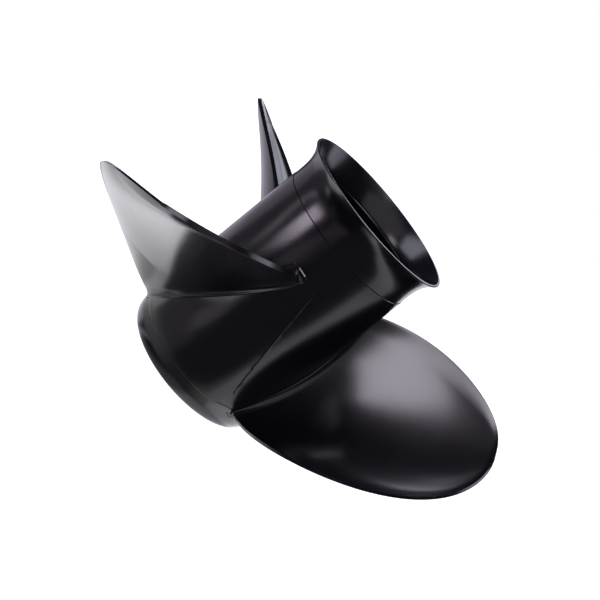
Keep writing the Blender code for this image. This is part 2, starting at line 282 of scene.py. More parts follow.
# %% Ribs with widened roots
BLADE_COUNT = 3
RIB_HALF = 3.0 * MM
RIB_FRONT = 8.0 * MM
RIB_BACK = 94.0 * MM
RIB_BITE = 1.0 * MM
RIB_FILLET = 2.5 * MM
RIB_ROUNDING = 1.2 * MM
RIB_DRAFT = 0.92
RIB_WALL_SINK = 0.4 * MM
ROUNDING_STEPS = 5


def turned_to(index):
    """Rotation about the shaft that takes the first blade's place to that of blade number index."""
    return Matrix.Rotation(2 * math.pi * index / BLADE_COUNT, 3, "Z")


def flare_at(distance, radius):
    """How far a quarter-round fillet stands out at this distance from the wall it meets."""
    if distance >= radius:
        return 0.0
    return radius - math.sqrt(radius ** 2 - (radius - max(distance, 0.0)) ** 2)


def rib_levels():
    """Height and width share of the rib from its front end to its aft end, with rounded ends."""
    levels = []
    for k in range(ROUNDING_STEPS):
        turn = math.pi / 2 * k / (ROUNDING_STEPS - 1)
        levels.append((RIB_FRONT + RIB_ROUNDING * (1 - math.cos(turn)),
                       1 - RIB_ROUNDING * (1 - math.sin(turn)) / RIB_HALF))
    for k in range(ROUNDING_STEPS):
        turn = math.pi / 2 * k / (ROUNDING_STEPS - 1)
        levels.append((RIB_BACK - RIB_ROUNDING * (1 - math.sin(turn)),
                       RIB_DRAFT - RIB_ROUNDING * (1 - math.cos(turn)) / RIB_HALF))
    return levels


def make_rib(index):
    bm = bmesh.new()
    bmesh.ops.create_grid(bm, x_segments=36, y_segments=2, size=1.0)
    start, end = INNER_HUB_RADIUS - RIB_BITE, BORE_RADIUS + RIB_BITE
    for vert in bm.verts:
        x = start + (end - start) * (vert.co.x + 1) / 2
        wall = min(x - INNER_HUB_RADIUS, BORE_RADIUS - RIB_WALL_SINK - x)
        vert.co = (x, vert.co.y * (RIB_HALF + flare_at(wall, RIB_FILLET)), 0)
    end_faces, verts, width = bm.faces[:], bm.verts[:], 1.0
    for height, share in rib_levels():
        bmesh.ops.scale(bm, verts=verts, vec=(1, share / width, 1))
        bmesh.ops.translate(bm, verts=verts, vec=(0, 0, height - verts[0].co.z))
        width = share
        if height < RIB_BACK:
            left_inside = end_faces if height > RIB_FRONT else []
            grown = bmesh.ops.extrude_face_region(bm, geom=end_faces)["geom"]
            verts = [part for part in grown if isinstance(part, bmesh.types.BMVert)]
            end_faces = [part for part in grown if isinstance(part, bmesh.types.BMFace)]
            bmesh.ops.delete(bm, geom=left_inside, context="FACES_ONLY")
    bmesh.ops.rotate(bm, verts=bm.verts, matrix=turned_to(index))
    return to_object(f"rib_{index}", bm)


ribs = [make_rib(index) for index in range(BLADE_COUNT)]
print("ribs:", len(ribs), "with", len(ribs[0].data.polygons), "faces each")

# %% [markdown]
# ## Blades
# A blade is a helical surface: its height grows with the angle round the shaft. Rake tips it aft,
# the cup turns its trailing edge up, and a fillet joins it to the barrel, wider on the aft face.
# A plane could be twisted and bent by modifiers, but a blade is drawn by numbers on the real
# thing too. So two grids, one for each face, are moved onto that surface, their borders are
# bridged, and the edge is bevelled. The CAD part has the same values, so both have one outline.

# %% Blade outline
BLADE_TIP_RADIUS = 143.8 * MM
BLADE_ROOT_RADIUS = 43.2 * MM
BLADE_HALF_ANGLE = 0.618
BLADE_SKEW = 0.1745
TIP_SKEW = 0.081
EAR_ROUNDNESS = -0.044
SHOULDER_FULLNESS = 0.037
LEADING_ROOT_CUT = 0.075
ROOT_CUT_FADE = 8


def outline_radius(t):
    """Radius on the outline, where t runs from 0 at the leading root to pi at the trailing one."""
    share = (math.sin(t) + SHOULDER_FULLNESS * math.sin(3 * t)) / (1 - SHOULDER_FULLNESS)
    return BLADE_ROOT_RADIUS + (BLADE_TIP_RADIUS - BLADE_ROOT_RADIUS) * share


def outline_angle(t):
    """Angle round the shaft on the outline."""
    sweep = -BLADE_HALF_ANGLE * math.cos(t) + EAR_ROUNDNESS * math.cos(3 * t)
    cut = LEADING_ROOT_CUT * (1 - math.sin(t)) ** ROOT_CUT_FADE if t < math.pi / 2 else 0.0
    return sweep + BLADE_SKEW * math.sin(t) ** 2 + TIP_SKEW * math.sin(t) ** 4 + cut


def outline_place(radius):
    """The t on the leading side at which the outline reaches this radius."""
    low, high = 0.0, math.pi / 2
    for _ in range(40):
        middle = (low + high) / 2
        low, high = (middle, high) if outline_radius(middle) < radius else (low, middle)
    return low

# %% Blade surface
BLADE_CENTRE = 47.4 * MM
ROOT_PITCH = 373.0 * MM
TIP_PITCH = 319.5 * MM
RAKE = 42.1 * MM
RAKE_EASE = 10.4 * MM
CAMBER = 0.142
CAMBER_SHIFT = -0.038
TRAILING_LIFT = 0.047
CUP = 0.020
CUP_START = 0.82


def span_share(radius):
    return min(max((radius - BLADE_ROOT_RADIUS) / (BLADE_TIP_RADIUS - BLADE_ROOT_RADIUS), 0.0), 1.0)


def chord_at(radius):
    """The angle of the chord's middle and half the angle that the chord spans, at this radius."""
    t = outline_place(radius)
    leading, trailing = outline_angle(t), outline_angle(math.pi - t)
    return (leading + trailing) / 2, (trailing - leading) / 2


def surface_point(radius, angle, chord_place):
    """Point halfway through the blade; chord_place runs from -1, leading edge, to 1, trailing edge."""
    half_chord = radius * chord_at(radius)[1]
    span = span_share(radius)
    pitch = ROOT_PITCH + (TIP_PITCH - ROOT_PITCH) * span
    helix = BLADE_CENTRE + pitch * angle / (2 * math.pi) + (RAKE - RAKE_EASE * span) * span
    camber = (CAMBER + CAMBER_SHIFT * chord_place) * max(1 - chord_place ** 2, 0.0)
    cup = CUP * (max(0.0, chord_place - CUP_START) / (1 - CUP_START)) ** 2
    rise = TRAILING_LIFT * (1 + chord_place) / 2 + cup
    height = helix + (rise - camber) * half_chord
    return Vector((radius * math.cos(angle), radius * math.sin(angle), height))

# %% Where the blade's grid lines run
FILLET_ROWS = 12
SPAN_ROWS = 60
CHORD_CELLS = 84
EDGE_CROWDING = 0.5
CORNER_ANGLE = math.radians(58)
FILLET_HEIGHT = 5.0 * MM
AFT_FILLET_REACH = 3.4 * MM
AFT_FILLET_GROWTH = 1.2
FORWARD_FILLET_REACH = 1.8 * MM
FILLET_SINK = 0.05 * MM
ROOT_BITE = 1.2 * MM


def crowded(x):
    """Moves grid lines towards the blade's edges, where its thickness changes fastest."""
    return (1 - EDGE_CROWDING) * x + EDGE_CROWDING * math.sin(math.pi / 2 * x)


def fillet_row(row):
    """Radius and flare of a row of the root fillet; the first lies inside the barrel's wall."""
    if row == 0:
        return BLADE_ROOT_RADIUS - ROOT_BITE, 1.0
    turn = math.pi / 2 * (row - 1) / FILLET_ROWS
    return BLADE_ROOT_RADIUS - FILLET_SINK + FILLET_HEIGHT * (1 - math.cos(turn)), 1 - math.sin(turn)


def polar(radius, angle):
    return Vector((radius * math.cos(angle), radius * math.sin(angle)))


def on_outline(t):
    return polar(outline_radius(t), outline_angle(t))


def blade_place(across, row):
    """Radius, angle, place along the chord and flare of a grid point; across goes from -1 to 1."""
    place = crowded(across)
    if row <= FILLET_ROWS + 1:
        radius, flare = fillet_row(row)
        middle, half = chord_at(radius)
        return radius, middle + half * place, place, flare
    up = (row - FILLET_ROWS - 1) / SPAN_ROWS
    over = (place + 1) / 2
    first_radius = fillet_row(FILLET_ROWS + 1)[0]
    first = outline_place(first_radius)
    middle, half = chord_at(first_radius)
    side = first + (CORNER_ANGLE - first) * up
    top = CORNER_ANGLE + (math.pi - 2 * CORNER_ANGLE) * over
    corners = [on_outline(t) for t in (first, math.pi - first, CORNER_ANGLE, math.pi - CORNER_ANGLE)]
    flat = (polar(first_radius, middle + half * place) * (1 - up) + on_outline(top) * up
            + on_outline(side) * (1 - over) + on_outline(math.pi - side) * over
            - (corners[0] * (1 - over) + corners[1] * over) * (1 - up)
            - (corners[2] * (1 - over) + corners[3] * over) * up)
    radius, angle = flat.length, math.atan2(flat.y, flat.x)
    middle, half = chord_at(radius)
    return radius, angle, min(max((angle - middle) / max(half, 1e-6), -1.0), 1.0), 0.0

# %% Blade thickness and root fillet
LEADING_EDGE_HALF = 0.8 * MM
TRAILING_EDGE_HALF = 1.1 * MM
ROOT_HALF = 3.3 * MM
TIP_HALF = 1.3 * MM
FILLET_AT_ENDS = 0.5
EDGE_FILLET = 2.0 * MM
EDGE_ROUNDING = 0.5 * MM
EDGE_SINK = 0.5 * MM
EDGE_DUST = 0.04 * MM
TIP_THINNING = 20
CHORD_FULLNESS = 0.7


def half_thickness(radius, chord_place):
    span = span_share(radius)
    thickest = ROOT_HALF + (TIP_HALF - ROOT_HALF) * span
    edge = LEADING_EDGE_HALF + (TRAILING_EDGE_HALF - LEADING_EDGE_HALF) * (1 + chord_place) / 2
    inside = max(0.0, 1 - chord_place ** 2) * (1 - span ** TIP_THINNING)
    return edge + (thickest - edge) * inside ** CHORD_FULLNESS


def follow_barrel(point, row_radius):
    """Moves a point of the root out to where the tapered barrel's surface is."""
    shift = (barrel_radius(point.z) - BLADE_ROOT_RADIUS) * (1 - span_share(row_radius)) ** 3
    radius = point.xy.length
    return Vector((point.x * (radius + shift) / radius, point.y * (radius + shift) / radius,
                   point.z))

# %% Build one blade from its middle surface and two skins
def blade_grid(bm):
    rows = FILLET_ROWS + 1 + SPAN_ROWS
    verts = bmesh.ops.create_grid(bm, x_segments=CHORD_CELLS, y_segments=rows, size=1.0)["verts"]
    return [(vert, vert.co.x, round((vert.co.y + 1) / 2 * rows)) for vert in verts]


def middle_surface():
    """For each grid point: point and normal of the middle surface, radius, half thickness, flare,
    how near the end of the chord it is, and whether on the trailing half."""
    bm = bmesh.new()
    places = []
    for vert, across, row in blade_grid(bm):
        radius, angle, chord_place, flare = blade_place(across, row)
        middle, half = chord_at(radius)
        wide = chord_place * (1 + EDGE_FILLET * flare / max(half * radius, MM))
        if flare:
            angle = middle + half * wide
        vert.co = surface_point(radius, angle, wide)
        thickness = half_thickness(radius, chord_place)
        places.append((vert, radius, thickness, flare, chord_place ** 4, chord_place > 0))
    bm.normal_update()
    surface = [(vert.co.copy(), vert.normal.copy(), *values) for vert, *values in places]
    bm.free()
    return surface


def make_blade(surface, index):
    bm = bmesh.new()
    for side, fillet in ((-1, AFT_FILLET_REACH), (1, FORWARD_FILLET_REACH)):
        for (vert, _, _), place in zip(blade_grid(bm), surface):
            middle, normal, radius, half, flare, at_end, trailing = place
            change = AFT_FILLET_GROWTH if trailing and side < 0 else FILLET_AT_ENDS - 1
            reach = half + fillet * flare * (1 + change * at_end)
            vert.co = follow_barrel(middle + side * reach * normal, radius)
    border = [edge for edge in bm.edges if edge.is_boundary]
    bmesh.ops.bridge_loops(bm, edges=border)
    inner_radius = BLADE_ROOT_RADIUS - EDGE_SINK
    rims = [edge for edge in border if max(vert.co.xy.length for vert in edge.verts) > inner_radius]
    bmesh.ops.bevel(bm, geom=rims, offset=EDGE_ROUNDING, segments=3, affect="EDGES", profile=0.5,
                    material=-1, clamp_overlap=True)
    bmesh.ops.remove_doubles(bm, verts=bm.verts, dist=EDGE_DUST)
    bmesh.ops.rotate(bm, verts=bm.verts, matrix=turned_to(index))
    return to_object(f"blade_{index}", bm)


blade_surface = middle_surface()
blades = [make_blade(blade_surface, index) for index in range(BLADE_COUNT)]
print("blade:", len(blades[0].data.polygons), "faces")

# %% [markdown]
# ## Parting lines
# The die that casts the barrel opens along a line between one blade's trailing root and the next
# blade's leading root. A hair-thin ridge of metal stays there, with two short burrs by the
# trailing root, and the enamel doesn't hide them. A bump map could draw them, but the exported
# mesh would lose them. So each ridge is a narrow grid, laid on the barrel and extruded.

# %% Ridges where the die parts
RIDGE_FOOT = 0.4 * MM
RIDGE_SINK = 0.02 * MM
BURR_SIZE = (0.45 * MM, 0.5 * MM)
PARTING_LINE_SIZE = (0.3 * MM, 0.16 * MM)
ROOT_LINE_SIZE = (0.35 * MM, 0.18 * MM)
BURRS = (((33.5, 93.6), (40.2, 93.1)), ((41.3, 93.0), (50.1, 90.4)))
PARTING_LINE = ((51.6, 90.6), (53.6, 88.7), (60.6, 59.6), (69.5, 27.3), (71.5, 22.6))
LEADING_ROOT_LINE = ((68.8, 13.4), (75.5, 14.3), (86.1, 14.4))


def along(path, share):
    """Point at this share of a path of (angle in degrees, height in millimetres)."""
    place = share * (len(path) - 1)
    start = min(int(place), len(path) - 2)
    return Vector(path[start]).lerp(Vector(path[start + 1]), place - start)


def make_ridge(name, path, size, index):
    """Ridge along the path; size is its half width and its height."""
    half_width, height = size
    bm = bmesh.new()
    bmesh.ops.create_grid(bm, x_segments=12 * (len(path) - 1), y_segments=2, size=1.0)
    places = {}
    for vert in bm.verts:
        share, across = (vert.co.x + 1) / 2, vert.co.y
        here = along(path, share)
        ahead, back = along(path, min(share + 0.01, 1)), along(path, max(share - 0.01, 0))
        arc_length = math.radians(1) * NECK_RADIUS
        heading = Vector(((ahead - back).x * arc_length, (ahead - back).y * MM)).normalized()
        angle = math.radians(here.x) - across * half_width * heading.y / NECK_RADIUS
        z = here.y * MM + across * half_width * heading.x
        vert.co = (math.cos(angle), math.sin(angle), z)
        places[vert.co.to_tuple(7)] = height * (1 - abs(across)) - RIDGE_SINK
    foot = bm.faces[:]
    grown = bmesh.ops.extrude_face_region(bm, geom=foot)["geom"]
    crest = {part for part in grown if isinstance(part, bmesh.types.BMVert)}
    for vert in bm.verts:
        rise = places[vert.co.to_tuple(7)] if vert in crest else -RIDGE_FOOT
        radius = barrel_radius(vert.co.z) + rise
        vert.co = (vert.co.x * radius, vert.co.y * radius, vert.co.z)
    bmesh.ops.rotate(bm, verts=bm.verts, matrix=turned_to(index))
    return to_object(f"{name}_{index}", bm)


ridges = []
for index in range(BLADE_COUNT):
    ridges += [make_ridge(f"burr_{k}", path, BURR_SIZE, index) for k, path in enumerate(BURRS)]
    ridges.append(make_ridge("parting_line", PARTING_LINE, PARTING_LINE_SIZE, index))
    ridges.append(make_ridge("root_line", LEADING_ROOT_LINE, ROOT_LINE_SIZE, index))
print("ridges:", len(ridges))

# %% [markdown]
# ## One casting
# Barrel, hub, ribs and blades leave the die as one piece of metal. Solids that only overlap would
# look joined, but their hidden walls would stay inside. An exact union makes one closed skin.

# %% Join the casting
casting = united(casting, inner_hub, *ribs, *blades, *ridges)
smooth(casting)
print("casting:", len(casting.data.polygons), "faces")

# %% [markdown]
# ## Rubber bush
# The bush is moulded rubber, pressed into the inner hub. Its ends are rounded and slightly
# dished, as rubber is that has been pressed in. A tube with bevelled ends would be too crisp for
# rubber, so a profile with the soft dish in it is spun.

# %% Bush
CONTACT_GAP = 0.3 * MM
BUSH_FRONT = SHOULDER_BACK + CONTACT_GAP
BUSH_BACK = 88.0 * MM
BUSH_ROUNDING = 1.5 * MM
BUSH_DISH = 0.6 * MM
DISH_HALF_WIDTH = 1.2 * MM
DISH_SHOULDER = 0.8
BUSH_LIP = (0.6 * MM, 0.3 * MM)
SLEEVE_RADIUS = 14.2 * MM


def bush_profile():
    outer, inner = BUSH_SEAT_RADIUS - CONTACT_GAP, SLEEVE_RADIUS + CONTACT_GAP
    cut = (BUSH_ROUNDING, BUSH_ROUNDING)
    lip = inner + BUSH_LIP[0]
    dish = (inner + outer) / 2 - BUSH_ROUNDING / 2
    profile = [(inner, BUSH_FRONT + BUSH_LIP[1]), (lip, BUSH_FRONT)]
    profile += arc((outer - BUSH_ROUNDING, BUSH_FRONT + BUSH_ROUNDING), cut, -90, 0, 5)
    profile += arc((outer - BUSH_ROUNDING, BUSH_BACK - BUSH_ROUNDING), cut, 0, 90, 5)
    shoulder = BUSH_BACK - BUSH_DISH * DISH_SHOULDER
    profile += [(dish + DISH_HALF_WIDTH, shoulder), (dish, BUSH_BACK - BUSH_DISH),
                (dish - DISH_HALF_WIDTH, shoulder)]
    return profile + [(lip, BUSH_BACK), (inner, BUSH_BACK - BUSH_LIP[1])]


bush = smooth(spun("rubber_bush_detail", bush_profile(), HUB_STEPS))
print("bush:", len(bush.data.polygons), "faces")

# %% [markdown]
# ## Splined sleeve
# The bronze sleeve has thirteen straight splines. They could be cut from a tube with a boolean,
# but it is simpler to draw them. The end starts as two rings of points, one round and one moved
# in and out to the splines' shape. Bridging them gives the end face, which is extruded along the
# shaft, and a bevel breaks the edges as a lathe tool does.

# %% Sleeve
SLEEVE_FRONT = 6.0 * MM
SLEEVE_BACK = 97.0 * MM
SLEEVE_CHAMFER = 0.6 * MM
SPLINE_COUNT = 13
SPLINE_ROOT_RADIUS = 11.6 * MM
SPLINE_TIP_RADIUS = 10.1 * MM
SPLINE_POINTS = 20
SPLINE_TOP_HALF = 0.21
SPLINE_FOOT_HALF = 0.36
RIM_ANGLE = math.radians(69)


def spline_radius(angle):
    """Radius of the splined bore: low on a spline's top, high between two splines."""
    place = abs((angle / (2 * math.pi) * SPLINE_COUNT + 0.5) % 1.0 - 0.5)
    flank = (place - SPLINE_TOP_HALF) / (SPLINE_FOOT_HALF - SPLINE_TOP_HALF)
    return SPLINE_TIP_RADIUS + (SPLINE_ROOT_RADIUS - SPLINE_TIP_RADIUS) * min(max(flank, 0.0), 1.0)


def make_sleeve():
    bm = bmesh.new()
    count = SPLINE_COUNT * SPLINE_POINTS
    bmesh.ops.create_circle(bm, cap_ends=False, radius=SLEEVE_RADIUS, segments=count)
    bore = bmesh.ops.create_circle(bm, cap_ends=False, radius=SPLINE_ROOT_RADIUS, segments=count)["verts"]
    for vert in bore:
        vert.co *= spline_radius(math.atan2(vert.co.y, vert.co.x)) / SPLINE_ROOT_RADIUS
    bmesh.ops.bridge_loops(bm, edges=bm.edges[:])
    bmesh.ops.translate(bm, verts=bm.verts, vec=(0, 0, SLEEVE_FRONT))
    grown = bmesh.ops.extrude_face_region(bm, geom=bm.faces[:])["geom"]
    top = [part for part in grown if isinstance(part, bmesh.types.BMVert)]
    bmesh.ops.translate(bm, verts=top, vec=(0, 0, SLEEVE_BACK - SLEEVE_FRONT))
    rims = [edge for edge in bm.edges if len(edge.link_faces) == 2
            and edge.calc_face_angle() > RIM_ANGLE
            and abs(edge.verts[0].co.z - edge.verts[1].co.z) < 1e-6]
    bmesh.ops.bevel(bm, geom=rims, offset=SLEEVE_CHAMFER, segments=2, affect="EDGES", profile=0.5,
                    material=-1, clamp_overlap=True)
    return to_object("splined_sleeve_detail", bm)


sleeve = smooth(make_sleeve())
print("sleeve:", len(sleeve.data.polygons), "faces")

# %% [markdown]
# ## Materials
# Colours are written as sRGB hex values, as a colour picker shows them, and one function turns
# them into the linear values that the renderer works with. One more function adds a node.

# %% Helpers for materials
def linear(code):
    """Linear red, green, blue and alpha of an sRGB hex colour."""
    channels = [int(code[k:k + 2], 16) / 255 for k in (1, 3, 5)]
    return [c / 12.92 if c <= 0.04045 else ((c + 0.055) / 1.055) ** 2.4 for c in channels] + [1.0]


def new_material(name):
    material = bpy.data.materials.new(name)
    material.use_nodes = True
    return material, material.node_tree, material.node_tree.nodes["Principled BSDF"]


def add_node(tree, kind, inputs=None, links=None, **settings):
    """Adds a node, sets its own settings and socket values, and links sockets into it."""
    node = tree.nodes.new(kind)
    for key, value in settings.items():
        setattr(node, key, value)
    for socket, value in (inputs or {}).items():
        node.inputs[socket].default_value = value
    for socket, source in (links or {}).items():
        tree.links.new(source, node.inputs[socket])
    return node

# %% [markdown]
# ### Black enamel
# The casting is sprayed with a semi-gloss black enamel and baked. Sprayed paint dries with a faint
# orange peel, a millimetre or so from bump to bump, which makes the edges of reflections soft
# and slightly broken. Its gloss drifts a little in patches of a few centimetres, as the spray
# was thicker or thinner there. A plain glossy black would look like glass. Two noises do it, one
# for the bumps and one for the gloss.

# %% Enamel
ENAMEL_BLACK = "#050407"
PEEL_SIZE = 1.1 * MM
PEEL_DEPTH = 0.05 * MM
CLOUD_SIZE = 22.0 * MM
GLOSS_RANGE = (0.17, 0.23)


def make_enamel():
    material, tree, shader = new_material("black_baked_enamel")
    place = add_node(tree, "ShaderNodeTexCoord").outputs["Object"]
    peel = add_node(tree, "ShaderNodeTexNoise", {"Scale": 1 / PEEL_SIZE, "Detail": 2.0},
                    {"Vector": place})
    cloud = add_node(tree, "ShaderNodeTexNoise", {"Scale": 1 / CLOUD_SIZE, "Detail": 3.0},
                     {"Vector": place})
    gloss = add_node(tree, "ShaderNodeMapRange", {"To Min": GLOSS_RANGE[0], "To Max": GLOSS_RANGE[1]},
                     {"Value": cloud.outputs["Fac"]})
    bump = add_node(tree, "ShaderNodeBump", {"Strength": 0.36, "Distance": PEEL_DEPTH},
                    {"Height": peel.outputs["Fac"]})
    tree.links.new(gloss.outputs["Result"], shader.inputs["Roughness"])
    tree.links.new(bump.outputs["Normal"], shader.inputs["Normal"])
    shader.inputs["Base Color"].default_value = linear(ENAMEL_BLACK)
    shader.inputs["IOR"].default_value = 1.5
    return material


enamel = make_enamel()
print("enamel:", len(enamel.node_tree.nodes), "nodes")

# %% [markdown]
# ### Rubber and bronze
# Moulded rubber is matt and nearly black, with a faint grey bloom where additives have come to its
# surface, so two blacks are mixed in soft patches. The bronze sleeve is turned on a lathe, which
# leaves fine rings round its end faces, and it tarnishes a little darker in patches. An image
# could hold the rings, but a one-dimensional noise along radius and height gives them directly.

# %% Rubber and bronze
RUBBER_GRAIN = 0.8 * MM
GRAIN_DEPTH = 0.05 * MM
BLOOM_SIZE = 5.0 * MM
TURNING_PITCH = 0.25 * MM
TURNING_DEPTH = 0.01 * MM
HEIGHT_SHARE = 0.3
TARNISH_SIZE = 4.0 * MM


def patches(tree, place, size, first, second):
    """Colour that drifts between two hex colours in soft patches of about this size."""
    noise = add_node(tree, "ShaderNodeTexNoise", {"Scale": 1 / size, "Detail": 3.0}, {"Vector": place})
    mix = add_node(tree, "ShaderNodeMix", data_type="RGBA")
    tree.links.new(noise.outputs["Fac"], mix.inputs["Factor"])
    colours = [socket for socket in mix.inputs if socket.type == "RGBA"]
    colours[0].default_value, colours[1].default_value = linear(first), linear(second)
    return next(socket for socket in mix.outputs if socket.type == "RGBA"), noise.outputs["Fac"]


def make_rubber():
    material, tree, shader = new_material("moulded_black_rubber")
    place = add_node(tree, "ShaderNodeTexCoord").outputs["Object"]
    colour, bloom = patches(tree, place, BLOOM_SIZE, "#141314", "#2a2828")
    gloss = add_node(tree, "ShaderNodeMapRange", {"To Min": 0.62, "To Max": 0.85},
                     {"Value": bloom})
    grain = add_node(tree, "ShaderNodeTexNoise", {"Scale": 1 / RUBBER_GRAIN, "Detail": 4.0},
                     {"Vector": place})
    bump = add_node(tree, "ShaderNodeBump", {"Strength": 0.3, "Distance": GRAIN_DEPTH},
                    {"Height": grain.outputs["Fac"]})
    tree.links.new(colour, shader.inputs["Base Color"])
    tree.links.new(gloss.outputs["Result"], shader.inputs["Roughness"])
    tree.links.new(bump.outputs["Normal"], shader.inputs["Normal"])
    return material


def make_bronze():
    material, tree, shader = new_material("turned_bronze")
    place = add_node(tree, "ShaderNodeTexCoord").outputs["Object"]
    colour, tarnish = patches(tree, place, TARNISH_SIZE, "#c29352", "#a1743c")
    gloss = add_node(tree, "ShaderNodeMapRange", {"To Min": 0.26, "To Max": 0.42},
                     {"Value": tarnish})
    axes = add_node(tree, "ShaderNodeSeparateXYZ", links={"Vector": place})
    level = add_node(tree, "ShaderNodeCombineXYZ", links={"X": axes.outputs["X"], "Y": axes.outputs["Y"]})
    radius = add_node(tree, "ShaderNodeVectorMath", links={0: level.outputs[0]}, operation="LENGTH")
    ring = add_node(tree, "ShaderNodeMath", {1: HEIGHT_SHARE},
                    {0: axes.outputs["Z"], 2: radius.outputs["Value"]}, operation="MULTIPLY_ADD")
    marks = add_node(tree, "ShaderNodeTexNoise", {"Scale": 1 / TURNING_PITCH, "Detail": 2.0},
                     {"W": ring.outputs[0]}, noise_dimensions="1D")
    bump = add_node(tree, "ShaderNodeBump", {"Strength": 0.35, "Distance": TURNING_DEPTH},
                    {"Height": marks.outputs["Fac"]})
    tree.links.new(colour, shader.inputs["Base Color"])
    tree.links.new(gloss.outputs["Result"], shader.inputs["Roughness"])
    tree.links.new(bump.outputs["Normal"], shader.inputs["Normal"])
    shader.inputs["Metallic"].default_value = 1.0
    return material


rubber, bronze = make_rubber(), make_bronze()
print("rubber:", len(rubber.node_tree.nodes), "nodes, bronze:", len(bronze.node_tree.nodes), "nodes")

# %% [markdown]
# ## On the frame
# The three pieces stand for the three CAD nodes and ride on the part's one body. The nodes could
# be dressed themselves, but they are made of flat facets, which gloss would show.

# %% Put the pieces on the frame
for piece, node, material, slot in ((casting, "propeller_casting", enamel, "black_enamel"),
                                    (bush, "rubber_bush", rubber, "black_rubber"),
                                    (sleeve, "splined_sleeve", bronze, "bronze")):
    piece.data.materials.clear()
    piece.data.materials.append(material)
    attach(piece, "root")
    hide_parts(node)
    print(piece.name, "stands for", node)

# %% [markdown]
# ## Studio
# The floor is a sheet of white acrylic lit from below, as product photographers use: it leaves no
# shadow and goes pure white. Black gloss shows nothing but what it reflects, so the rest of the
# studio is dark, and cards keep the glow of the sheet out of the faces that should stay black.
# Two glowing cards stand a little higher, under the blade on the left; they give off light of their own,
# and that light mirrored in the blade makes its outer face pale.
# The cards could be lights, but as sheets they also hide what lies under them. They show only in
# reflections, and each fades out at its edges, so no hard border shows in the enamel.

# %% Floor and cards
FLOOR_GLOW = 1.25
FLOOR_SIZE = 3.0


SHEET_ROUGHNESS = 0.9
WHITE_ACRYLIC, BLACK_CARD = "#8c8c8c", "#050505"
FLOOR_TINT, BRIGHT_TINT, DARK_TINT = "#f8f5ff", "#f9f9ff", "#f3ebff"


def fade_out(tree, shader):
    """Lets the surface fade away where the mesh's own attribute cover falls to zero."""
    cover = add_node(tree, "ShaderNodeAttribute", attribute_name="cover").outputs["Fac"]
    clear = add_node(tree, "ShaderNodeBsdfTransparent").outputs[0]
    fade = add_node(tree, "ShaderNodeMixShader", links={0: cover, 1: clear, 2: shader.outputs[0]})
    tree.links.new(fade.outputs[0], tree.nodes["Material Output"].inputs["Surface"])


def make_sheet(name, low, high, height, colour, tint, glow, slant=0.0, soft=0.0):
    """Level rectangle between two corners, given as x and y; slant skews it along y, and it fades
    out over the width soft past its edges."""
    width, depth = high[0] - low[0], high[1] - low[1]
    bm = bmesh.new()
    bmesh.ops.create_grid(bm, x_segments=1, y_segments=1, size=0.5)
    bmesh.ops.scale(bm, verts=bm.verts, vec=(width + 2 * soft, depth + 2 * soft, 1))
    bmesh.ops.translate(bm, verts=bm.verts, vec=(width / 2, (low[1] + high[1]) / 2, height))
    if soft:
        bmesh.ops.inset_region(bm, faces=bm.faces[:], thickness=soft, use_boundary=True)
        cover = bm.verts.layers.float.new("cover")
        for vert in bm.verts:
            vert[cover] = 0.0 if vert.is_boundary else 1.0
    skewed = Matrix(((1, 0, 0), (slant, 1, 0), (0, 0, 1))).to_4x4()
    bmesh.ops.transform(bm, verts=bm.verts, matrix=skewed)
    bmesh.ops.translate(bm, verts=bm.verts, vec=(low[0], 0, 0))
    sheet = to_object(name, bm)
    material, tree, shader = new_material(name)
    shader.inputs["Base Color"].default_value = linear(colour)
    shader.inputs["Roughness"].default_value = SHEET_ROUGHNESS
    shader.inputs["Emission Color"].default_value = linear(tint)
    shader.inputs["Emission Strength"].default_value = glow
    if soft:
        fade_out(tree, shader)
    sheet.data.materials.append(material)
    return sheet


def only_in_reflections(thing):
    thing.visible_camera = False
    thing.visible_diffuse = False
    thing.visible_shadow = False
    return thing


make_sheet("white_acrylic_floor", (-FLOOR_SIZE, -FLOOR_SIZE), (FLOOR_SIZE, FLOOR_SIZE), 0.0,
           WHITE_ACRYLIC, FLOOR_TINT, FLOOR_GLOW)

# %% Cards on the floor
# Each row: name, low corner, high corner, height, glow and slant. Later cards lie on earlier ones.
CARDS = (("grey_card_in_front", (-0.02, -1.5), (0.2, -0.034), 0.0004, 0.55, -0.45),
         ("black_card_in_front", (-0.02, -1.5), (0.17, -0.046), 0.0005, 0.05, -0.45),
         ("black_card_front_right", (0.17, -1.5), (1.5, -0.13), 0.0005, 0.05, 0.0),
         ("black_card_front_left", (-1.5, -1.5), (-0.02, -0.19), 0.0005, 0.05, 0.0),
         ("black_card_left_edge", (-0.3, -0.19), (-0.085, -0.105), 0.0005, 0.05, 0.0),
         ("black_card_beside_the_window", (-0.045, -0.19), (-0.02, -0.105), 0.0005, 0.05, 0.0),
         ("grey_card_window", (-0.085, -0.19), (-0.045, -0.105), 0.0005, 0.85, 0.0),
         ("dark_card_left_front", (-0.3, -0.105), (-0.035, -0.036), 0.0005, 0.27, 0.0),
         ("dark_card_beyond_the_foot", (-0.035, -0.105), (-0.02, -0.06), 0.0005, 0.25, 0.0),
         ("white_card_right_foot", (0.043, -0.042), (0.066, 0.0), 0.0005, 2.3, 0.0),
         ("white_card_left_foot", (-0.062, -0.028), (-0.044, 0.01), 0.0005, 1.25, 0.0),
         ("dark_card_on_the_left", (-1.5, -0.105), (-0.12, 0.06), 0.0004, 0.18, 0.0),
         ("grey_card_on_the_left", (-1.5, 0.06), (-0.24, 0.6), 0.0005, 0.5, 0.0),
         ("light_card_at_the_back", (-0.24, 0.06), (-0.1, 0.5), 0.0005, 0.75, 0.0),
         ("grey_card_on_the_right", (0.56, -0.125), (1.5, 0.6), 0.0005, 0.3, 0.0),
         # The next two cards glow with light of their own rather than reflect it: their glow is the pale
         # light mirrored in the left blade's outer face.
         ("glowing_card_under_the_blade", (-0.112, -0.10), (-0.04, -0.052), 0.035, 1.45, 0.0),
         ("bright_glowing_card_under_the_blade", (-0.112, -0.155), (-0.04, -0.10), 0.035, 2.4, 0.0))
